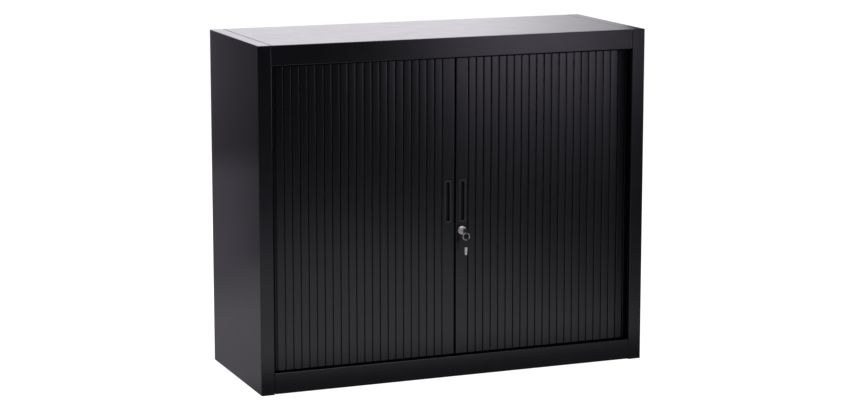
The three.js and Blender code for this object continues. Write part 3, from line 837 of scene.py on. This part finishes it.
# %% [markdown]
# The lock, the screws and the feet are turned: a cutter follows a profile while the piece spins.
# Here a circle is drawn out and scaled from one point of the profile to the next, which leaves
# the same rings as the cutter. Profiles are radius and depth in millimetres.

# %% Helper for turned pieces
def turned(name, start, along, profile, steps=48):
    start, along = Vector(start), Vector(along)
    radius, depth = profile[0]
    deselect()
    bpy.ops.mesh.primitive_circle_add(
        vertices=steps, radius=radius * mm, location=start + along * depth * mm,
        rotation=along.to_track_quat("Z", "Y").to_euler(),
    )
    piece = shaped(name)
    with editing(piece):
        pick_all()
        for next_radius, next_depth in profile[1:]:
            move = along * (next_depth - depth) * mm
            bpy.ops.mesh.extrude_edges_move(TRANSFORM_OT_translate={"value": move})
            bpy.ops.transform.resize(
                value=[next_radius / radius] * 3, center_override=start + along * next_depth * mm,
            )
            radius, depth = next_radius, next_depth
        pick_all()
        bpy.ops.mesh.remove_doubles(threshold=same_place / 10)
        bpy.ops.mesh.fill_holes(sides=0)
        face_outwards()
    return piece


# %% [markdown]
# The lock's rosette is a zinc casting with a domed rim, plated bright. The plug turns inside it:
# its face lies a little deeper, with the slot for the key across it, and its tail carries the
# hook behind the stile.

# %% Lock
housing_low, housing_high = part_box("lock_housing")
plug_low, plug_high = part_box("lock_plug")
hook_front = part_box("lock_hook")[0].y
lock_middle = middle_of("lock_housing")
rosette_face = Vector((lock_middle.x, housing_low.y, lock_middle.z))
plug_face = Vector((lock_middle.x, plug_low.y, lock_middle.z))
inwards = Vector((0, 1, 0))
housing_depth = (housing_high.y - housing_low.y) / mm
hook_gap = 0.3
plug_depth = (hook_front - plug_low.y) / mm - hook_gap
key_slot = (2.8 * mm, 15 * mm, 8.1 * mm)
tail_square = 6.6 * mm
tail_root = 1
plug_edge = 0.12 * mm

rosette = turned("lock_rosette", rosette_face, inwards, [
    (6.7, 0.7), (6.8, 0.25), (7.3, 0.03), (8.2, 0), (9.8, 0.12), (11.2, 0.65), (12.1, 1.5), (12.6, 2.5),
    (12.75, 3.6), (12.75, 4.7), (9.3, 4.7), (9.3, housing_depth), (6.7, housing_depth), (6.7, 0.7),
], steps=72)
smooth(rosette, sharper_than=35)
settle(rosette, satin_nickel, "right_door", "chrome", "lock_housing")

plug = turned("lock_plug_face", plug_face, inwards, [
    (5.85, 0), (6.15, 0.1), (6.3, 0.4), (6.3, plug_depth),
], steps=72)
slot_half = Vector((key_slot[0] / 2, 0, key_slot[2] / 2))
cut_out(plug, start_box(
    "slot", plug_face - slot_half - inwards * mm, plug_face + slot_half + inwards * key_slot[1],
))
tail_half = Vector((tail_square / 2, 0, tail_square / 2))
tail_start = plug_face + inwards * (plug_depth - tail_root) * mm
tail_end = Vector((lock_middle.x, plug_high.y, lock_middle.z))
plug = join_all([plug, start_box("tail", tail_start - tail_half, tail_end + tail_half)])
soften(plug, plug_edge, sharper_than=40)
settle(plug, satin_nickel, "lock", "chrome", "lock_plug")

# %% [markdown]
# A key is a milled blade with a bow moulded round its end. Both keys are the same shape, so the
# blade and the bow are modelled once about the origin, with the bow in front of it and the blade
# behind it, and copied to the lock and to the ring. The bites are places along the blade and
# depths in millimetres.

# %% Key shapes
bow_length, bow_height, bow_thickness, bow_corner = 27 * mm, 18 * mm, 2.8 * mm, 5 * mm
bow_hole, bow_hole_edge, bow_edge = 8 * mm, 7 * mm, 0.3 * mm
bow_border, bow_step, bow_sink = 1.4 * mm, 0.3 * mm, 0.2 * mm
blade_height, blade_thickness, blade_end, blade_tip = 7.5 * mm, 2.2 * mm, 23 * mm, 2.4 * mm
blade_root, blade_edge = 8 * mm, 0.15 * mm
groove_low, groove_high, groove_depth = 0.7 * mm, 1.9 * mm, 0.55 * mm
bites = [(10.4, 1.3), (12.8, 2.3), (15.2, 1.7), (17.6, 2.5), (19.6, 1.2)]
bite_steps = (-0.9, -0.35, 0.35, 0.9)
bite_floor = 0.4 * mm


def bow_shape():
    half = bow_thickness / 2
    bow = start_plane("bow", (-half, -bow_length, -bow_height / 2), (-half, 0, bow_height / 2))
    with editing(bow):
        pick_all()
        bpy.ops.mesh.bevel(offset=bow_corner, segments=6, affect="VERTICES")
        pick_all()
        bpy.ops.mesh.extrude_region_move(TRANSFORM_OT_translate={"value": (bow_thickness, 0, 0)})
        face_outwards()
        for side in sides.values():
            pick("FACE", lambda at, way: way.x * side > mostly)
            bpy.ops.mesh.inset(thickness=bow_border, depth=0)
            bpy.ops.mesh.inset(thickness=bow_step, depth=-bow_sink)
    hole = (0, bow_hole_edge - bow_length, 0)
    drill(bow, hole, bow_hole / 2, 2 * overrun, turn=(0, right_angle, 0), steps=40)
    soften(bow, bow_edge, sharper_than=35)
    return bow


def blade_shape():
    half, tall = blade_thickness / 2, blade_height / 2
    blade = start_box("blade", (-half, -blade_root, -tall), (half, blade_end, tall))
    with editing(blade):
        pick("EDGE", lambda at, way: abs(way.x) > mostly and near(at.y, blade_end))
        bpy.ops.mesh.bevel(offset=blade_tip, segments=1, affect="EDGES")
        for place, depth in bites:
            for step in bite_steps:
                cut_all_at((0, (place + step) * mm, 0), (0, 1, 0))
            pick("VERT", lambda at, way: at.z < slack - tall and abs(at.y - place * mm) < bite_floor)
            bpy.ops.transform.translate(value=(0, 0, depth * mm))
        for level in (groove_low, groove_high):
            cut_all_at((0, 0, level), (0, 0, 1))
        for side in sides.values():
            push(
                lambda at, way: way.x * side > mostly and groove_low < at.z < groove_high and at.y > 0,
                (-side * groove_depth, 0, 0),
            )
    soften(blade, blade_edge, sharper_than=25)
    return blade


bow = bow_shape()
blade = blade_shape()
for shape in (bow, blade):
    print(shape.name, [round(side, 4) for side in shape.dimensions])

# %% Both keys
key_start = Vector((lock_middle.x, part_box("key_bow")[1].y, lock_middle.z))
ring_low, ring_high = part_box("key_ring")
ring_middle = middle_of("key_ring")
spare_turn = math.radians(50)
spare_hang = Vector((ring_middle.x, ring_middle.y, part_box("spare_key_bow")[1].z - bow_hole_edge))
key_places = {
    "key": Matrix.Translation(key_start),
    "spare_key": Matrix.Translation(spare_hang) @ Matrix.Rotation(spare_turn, 4, "Z")
    @ Matrix.Rotation(-right_angle, 4, "X") @ Matrix.Translation((0, bow_length - bow_hole_edge, 0)),
}
for name, place in key_places.items():
    settle(copy_to(bow, f"{name}_moulded_bow", place), black_plastic, name, "black_plastic", f"{name}_bow")
    settle(copy_to(blade, f"{name}_milled_blade", place), nickel, name, "chrome", f"{name}_blade")
bpy.data.objects.remove(bow)
bpy.data.objects.remove(blade)

# %% [markdown]
# A split ring is flat wire wound twice round, so that a key can be threaded on. The section of
# the wire is wound by a Screw modifier, a little along its axis with each turn, and its two ends
# are closed.

# %% Key ring
wire_wide = 1.4 * mm
wire_thick = 0.72 * mm
turn_step = 0.76 * mm
winding = math.radians(715)
winding_steps = 120
ring_slack = 0.1 * mm


def split_ring():
    radius = (ring_high.x - ring_low.x - wire_wide) / 2 - ring_slack
    deselect()
    bpy.ops.mesh.primitive_circle_add(
        vertices=12, radius=wire_wide / 2, location=(radius, 0, -turn_step), rotation=(right_angle, 0, 0),
    )
    ring = shaped("split_ring", (1, wire_thick / wire_wide, 1))
    modify(
        ring, "SCREW", angle=winding, screw_offset=2 * turn_step, steps=winding_steps,
        render_steps=winding_steps,
    )
    with editing(ring):
        pick_all()
        bpy.ops.mesh.fill_holes(sides=0)
        face_outwards()
    ring.data.transform(Matrix.Translation(ring_middle) @ Matrix.Rotation(right_angle, 4, "X"))
    smooth(ring, sharper_than=50)
    settle(ring, satin_nickel, "ring", "chrome", "key_ring")


split_ring()

# %% [markdown]
# Inside, each shelf is a tray turned over: its front and back edges fold down into a lip and in
# again into a hem, so that no raw edge meets the hand. The inner walls are channels with two
# columns of slots punched all the way up, into which the clips of the shelves hook.

# %% Shelves
shelf_lip = 28 * mm
shelf_hem = 10 * mm


def shelf(node):
    low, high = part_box(node)
    tray = start_plane(f"{node}_tray", (low.x, low.y, high.z), (high.x, high.y, high.z))
    with editing(tray):
        for edge, way_in in ((low.y, 1), (high.y, -1)):
            fold(lambda at, way: near(at.y, edge), (0, 0, -shelf_lip))
            fold(
                lambda at, way: near(at.y, edge) and near(at.z, high.z - shelf_lip),
                (0, way_in * shelf_hem, 0),
            )
    thicken(tray, (0, 0, 1))
    coat_edges(tray)
    settle(tray, powder_liner, "cabinet", "liner", node)


for node in ("shelf_lower", "shelf_upper"):
    shelf(node)

# %% Inner walls
slot_size = (4 * mm, 14 * mm)
slot_pitch = 25 * mm
slots_down, slots_up = 10, 24


def inner_wall(hand):
    side = sides[hand]
    node = f"{hand}_inner_wall"
    low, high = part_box(node)
    outer = high.x if side > 0 else low.x
    wall = start_plane(f"{node}_channel", (outer, low.y, low.z), (outer, high.y, high.z))
    with editing(wall):
        for edge in (low.y, high.y):
            fold(
                lambda at, way: near(at.y, edge) and near(at.x, outer) and abs(way.z) > mostly,
                (-side * (high.x - low.x), 0, 0),
            )
    thicken(wall, (side, 0, 0))
    punches = []
    for line in ("front", "rear"):
        middle = middle_of(f"clip_lower_{line}_{hand}")
        half = Vector((2 * overrun, slot_size[0] / 2, slot_size[1] / 2))
        for step in range(-slots_down, slots_up):
            place = Vector((outer, middle.y, middle.z + step * slot_pitch))
            punches.append(start_box("punch", place - half, place + half))
    cut_out(wall, join_all(punches))
    coat_edges(wall)
    settle(wall, powder_liner, "cabinet", "liner", node)


for hand in sides:
    inner_wall(hand)

# %% [markdown]
# A levelling foot is a moulded pad on a zinc plated screw. The screw has a thread all the way, a
# hexagon for a spanner above the pad, and a slot in its top that a screwdriver reaches through
# the floor of the cabinet. The thread is drawn as rings, which look the same from any distance.

# %% Levelling feet
thread_pitch = 1.25
stem_radius = 4.7
stem_top = 40
driver_slot = Vector((0.8, 8, 2)) * mm
pad_profile = [(13.6, 0), (15.4, 0.5), (16, 1.6), (16, 4.6), (15.2, 6), (13, 6.8), (9, 7), (4.7, 7)]
thread_profile = [(4.1, 6)] + [
    point
    for ring in range(int((stem_top - 8) / thread_pitch))
    for point in ((4.1, 7.6 + ring * thread_pitch), (stem_radius, 8.2 + ring * thread_pitch))
] + [(3.9, stem_top)]
up = Vector((0, 0, 1))
origin = Vector((0, 0, 0))
foot_pad = turned("foot_pad", origin, up, pad_profile, steps=40)
smooth(foot_pad, sharper_than=40)
foot_screw = turned("foot_screw", origin, up, thread_profile, steps=28)
stem_end = up * stem_top * mm
cut_out(foot_screw, start_box("slot", stem_end - driver_slot, stem_end + driver_slot))
hexagon = turned("hexagon", origin, up, [(6.6, 7.1), (7.5, 7.6), (7.5, 11.4), (6.6, 12)], steps=6)
foot_screw = join_all([foot_screw, hexagon])
smooth(foot_screw, sharper_than=30)

for node in [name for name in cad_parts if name.startswith("foot_") and "bracket" not in name]:
    low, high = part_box(node)
    place = Matrix.Translation(((low.x + high.x) / 2, (low.y + high.y) / 2, low.z))
    settle(copy_to(foot_pad, f"{node}_pad", place), black_plastic, node, "black_plastic", node)
    settle(copy_to(foot_screw, f"{node}_threaded_stem", place), zinc, node, "steel")
bpy.data.objects.remove(foot_pad)
bpy.data.objects.remove(foot_screw)

# %% [markdown]
# The back panel is held by four flat screws with a cross slot. One is turned, its cross is cut
# out, and it is copied to the four places.

# %% Screws of the back panel
cross_long, cross_wide, cross_deep = 4.8 * mm, 1 * mm, 0.7 * mm


def back_screw():
    outwards = Vector((0, -1, 0))
    screw = turned("back_screw", origin, outwards, [
        (2.6, 0), (3.8, 0.1), (4.35, 0.4), (4.5, 0.9), (4.5, 1.2), (2, 1.2), (2, 9), (0.6, 11),
    ], steps=32)
    for across, tall in ((cross_long, cross_wide), (cross_wide, cross_long)):
        half = Vector((across / 2, cross_deep, tall / 2))
        cut_out(screw, start_box("cross", -half, half))
    smooth(screw, sharper_than=35)
    return screw


screw = back_screw()
for node in [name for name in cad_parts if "back_screw" in name]:
    low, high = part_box(node)
    place = Matrix.Translation(((low.x + high.x) / 2, high.y, (low.z + high.z) / 2))
    settle(copy_to(screw, f"{node}_cross_head", place), zinc, "cabinet", "steel", node)
bpy.data.objects.remove(screw)

# %% [markdown]
# CAD pieces whose shape is right stay as they are, and get a better material than the one they
# came with: pile in the tracks and between the doors, whose dark colour is partly painted shade of
# those gaps, rubber on the stops of the tracks, plastic for the shoes, zinc plate for the clips and
# for what the lock holds inside. The first word that fits a name decides.

# %% Finishes of the CAD pieces that stay
finishes = {
    "back_liner": powder_liner,
    "track_stop": rubber,
    # pile, partly painted shade of the gaps above the plinth and between the doors
    "track": pile_painted_shade,
    "centre_strip": pile_painted_shade,
    "shoe": black_plastic,
    "clip": zinc,
    "screw": zinc,
    "striker": zinc,
    "nut": zinc,
    "hook": zinc,
    "": powder_black,
}

for name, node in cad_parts.items():
    finish = next(made for word, made in finishes.items() if word in name)
    for slot in node.material_slots:
        slot.material = finish

# %% [markdown]
# The stage is a plain pale floor under a white sky. Black gloss shows only what it mirrors, so
# cards that the camera can't see stand where each face mirrors them, and fade as the light does
# along that face.

# %% Stage
def glow(name, colour, fades):
    """Light whose strength fades along each axis, from one place in metres to the next."""
    material, tree, where = start_material(name)
    axes = add(tree, "ShaderNodeSeparateXYZ", {"Vector": where})
    strength = 1
    for axis, stops in fades.items():
        total = stops[0][1]
        for (low, weak), (high, strong) in zip(stops, stops[1:]):
            step = add(tree, "ShaderNodeMapRange", {
                "Value": axes.outputs[axis], "From Min": low, "From Max": high,
                "To Min": 0, "To Max": strong - weak,
            }, interpolation_type="SMOOTHSTEP")
            parts = {0: step.outputs["Result"], 1: total}
            total = add(tree, "ShaderNodeMath", parts, operation="ADD").outputs[0]
        strength = add(tree, "ShaderNodeMath", {0: strength, 1: total}, operation="MULTIPLY").outputs[0]
    light = add(tree, "ShaderNodeEmission", {"Color": linear(colour), "Strength": strength})
    add(tree, "ShaderNodeOutputMaterial", {"Surface": light.outputs[0]})
    return material


def card(name, low, high, colour, fades):
    """A flat light that the camera doesn't see."""
    made = start_plane(name, low, high)
    made.data.materials.append(glow(f"{name}_light", colour, fades))
    made.visible_camera = False
    made.visible_shadow = False


def pale_floor():
    material, tree, _ = start_material("pale_floor")
    diffuse = add(tree, "ShaderNodeBsdfDiffuse", {"Color": linear("#8c8c8c")})
    light = add(tree, "ShaderNodeEmission", {"Color": linear("#ffffff"), "Strength": 1.0})
    both = add(tree, "ShaderNodeAddShader", {0: diffuse.outputs[0], 1: light.outputs[0]})
    add(tree, "ShaderNodeOutputMaterial", {"Surface": both.outputs[0]})
    floor = start_plane("floor", (-30, -30, 0), (30, 30, 0))
    floor.data.materials.append(material)
    floor.visible_glossy = False


def shade_under():
    """No light reaches the floor under the cabinet, so a dark sheet lies there, inside its outline."""
    material, tree, _ = start_material("shade_under_cabinet")
    dark = add(tree, "ShaderNodeBsdfDiffuse", {"Color": linear("#050505")})
    add(tree, "ShaderNodeOutputMaterial", {"Surface": dark.outputs[0]})
    low, high = (lid_low.x, front + post_return, 2 * slack), (lid_high.x, back - post_return, 2 * slack)
    shade = start_plane("shade", low, high)
    shade.data.materials.append(material)


pale_floor()
shade_under()

# %% Cards: two corners, a colour, and fades of places in metres and strengths
cards = {
    # white paper that lights the lower half, darkest right in front of the cabinet
    "paper": ((-5, -4.8, -0.01), (2.6, 3.2, -0.01), "#f8f3ff", {
        "Y": [
            (-4.6, 0), (-3, 0.08), (-1.7, 0.76), (-1, 0.76), (-0.72, 0.9), (-0.35, 0.12), (0.1, 0.35),
            (0.75, 0.38), (1.6, 0.24), (2.6, 0.22),
        ],
        "X": [(-2.4, 0.3), (-1.5, 1), (0.45, 1), (1.2, 0.3), (1.7, 0.1)],
    }),
    # shines along the lid, and ends before the lid's right-hand end
    "back_card": ((0.05, 2.6, 0), (1.96, 2.6, 3), "#fbf8ff", {"X": [(1.15, 1.68), (1.95, 0.85)]}),
    # a pale wall, seen softly in the left side
    "wall_card": ((-4.5, 2.6, 0), (-0.05, 2.6, 3), "#f3ebff", {"Z": [(0, 0.3), (0.8, 0.8), (3, 0.9)]}),
    # lets the left side grow darker towards its top
    "side_card": ((-1.15, 0.45, 0.24), (-0.64, 0.45, 1.3), "#f3ebff", {
        "Z": [(0.24, 0.28), (0.5, 0.26), (0.62, 0.13), (0.85, 0.16), (1.3, 0.17)],
        "X": [(-0.9, 0.35), (-0.69, 1)],
    }),
    # brightens the header and the top of the doors, more to the right
    "corner_card": ((0.5, -2.2, 0.12), (2.4, -2.2, 0.95), "#f3ebff", {
        "Z": [(0.12, 0), (0.36, 0.55), (0.52, 0.62), (0.7, 3.2)],
        "X": [(0.52, 0), (1.05, 0.78), (1.25, 0.8), (1.55, 0.32), (1.75, 0)],
    }),
    # shines on the upper rims of the lock and the keys
    "high_card": ((-3, -4.5, 2.4), (3, -4.5, 4.6), "#f6f0ff", {"Z": [(2.4, 1), (4.6, 2)]}),
    # draws a bright line on the right-hand edge of each slat
    "edge_card": ((2.8, -1.9, 0.1), (2.8, -0.3, 0.9), "#f6f0ff", {
        "Z": [(0.1, 0.2), (0.5, 6), (0.62, 5), (0.9, 0)],
        "Y": [(-1.9, 0), (-1.4, 1.15), (-0.8, 1.15), (-0.3, 0)],
    }),
}
for name, parts in cards.items():
    card(name, *parts)
print("cards:", *cards)

# %% Lights and sky
bpy.ops.object.light_add(type="AREA", location=(0, -0.3, 3.4))
overhead = bpy.context.object
overhead.name = "overhead"
overhead.data.shape = "RECTANGLE"
overhead.data.size = 3
overhead.data.size_y = 3
overhead.data.energy = 90
overhead.visible_camera = False

world = bpy.data.worlds.new("sky")
bpy.context.scene.world = world
world.use_nodes = True
sky = world.node_tree
sky.nodes.clear()
seen = add(sky, "ShaderNodeLightPath").outputs["Is Camera Ray"]
dim = add(sky, "ShaderNodeBackground", {"Color": linear("#ffffff"), "Strength": 0.025})
white = add(sky, "ShaderNodeBackground", {"Color": linear("#ffffff"), "Strength": 1.0})
both = add(sky, "ShaderNodeMixShader", {0: seen, 1: dim.outputs[0], 2: white.outputs[0]})
add(sky, "ShaderNodeOutputWorld", {"Surface": both.outputs[0]})
